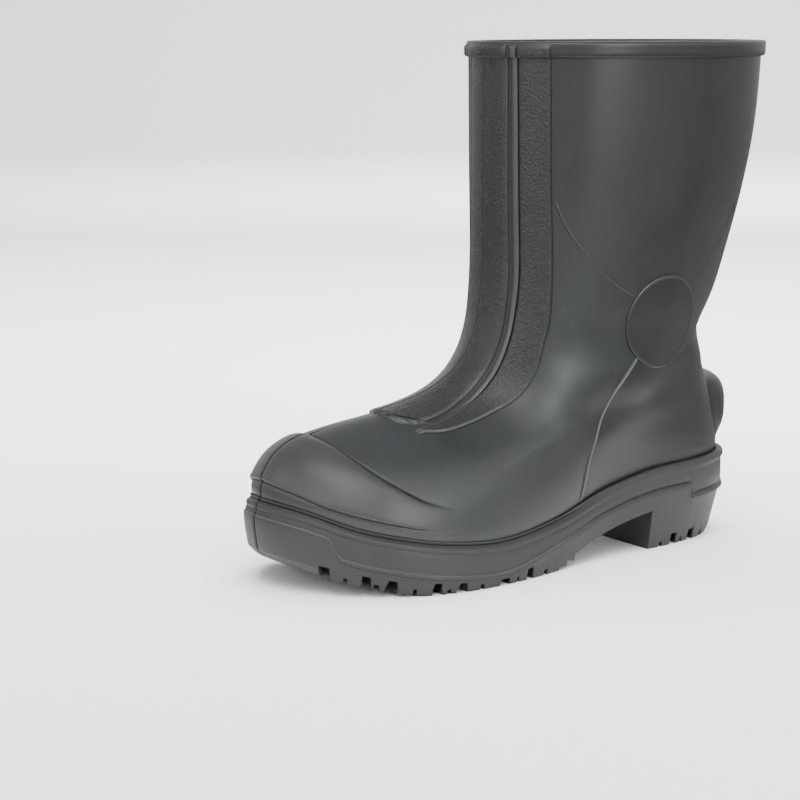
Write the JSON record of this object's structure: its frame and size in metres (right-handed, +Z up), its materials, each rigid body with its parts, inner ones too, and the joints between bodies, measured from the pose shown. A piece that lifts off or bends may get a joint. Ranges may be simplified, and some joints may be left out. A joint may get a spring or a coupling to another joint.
{
  "type": "safety toe rubber boot",
  "caption": "Left pull-on rubber safety boot: hollow moulded upper with raised toe cap, ankle disc, shin panels and kick-off spur, on a cleated heeled sole.",
  "frame": {"origin": "on the floor under the middle of the boot's bounding box", "axes": "+Z up out of the collar, -Y from the heel to the toe, +X towards the outer side of the left foot"},
  "size_m": [0.1332, 0.3296, 0.29],
  "materials": {
    "upper_rubber": "satin",
    "sole_rubber": "satin",
    "insole_foam": "matte"
  },
  "bodies": {
    "root": {"upper": "upper_rubber", "outsole": "sole_rubber", "insole": "insole_foam"}
  },
  "joints": []
}
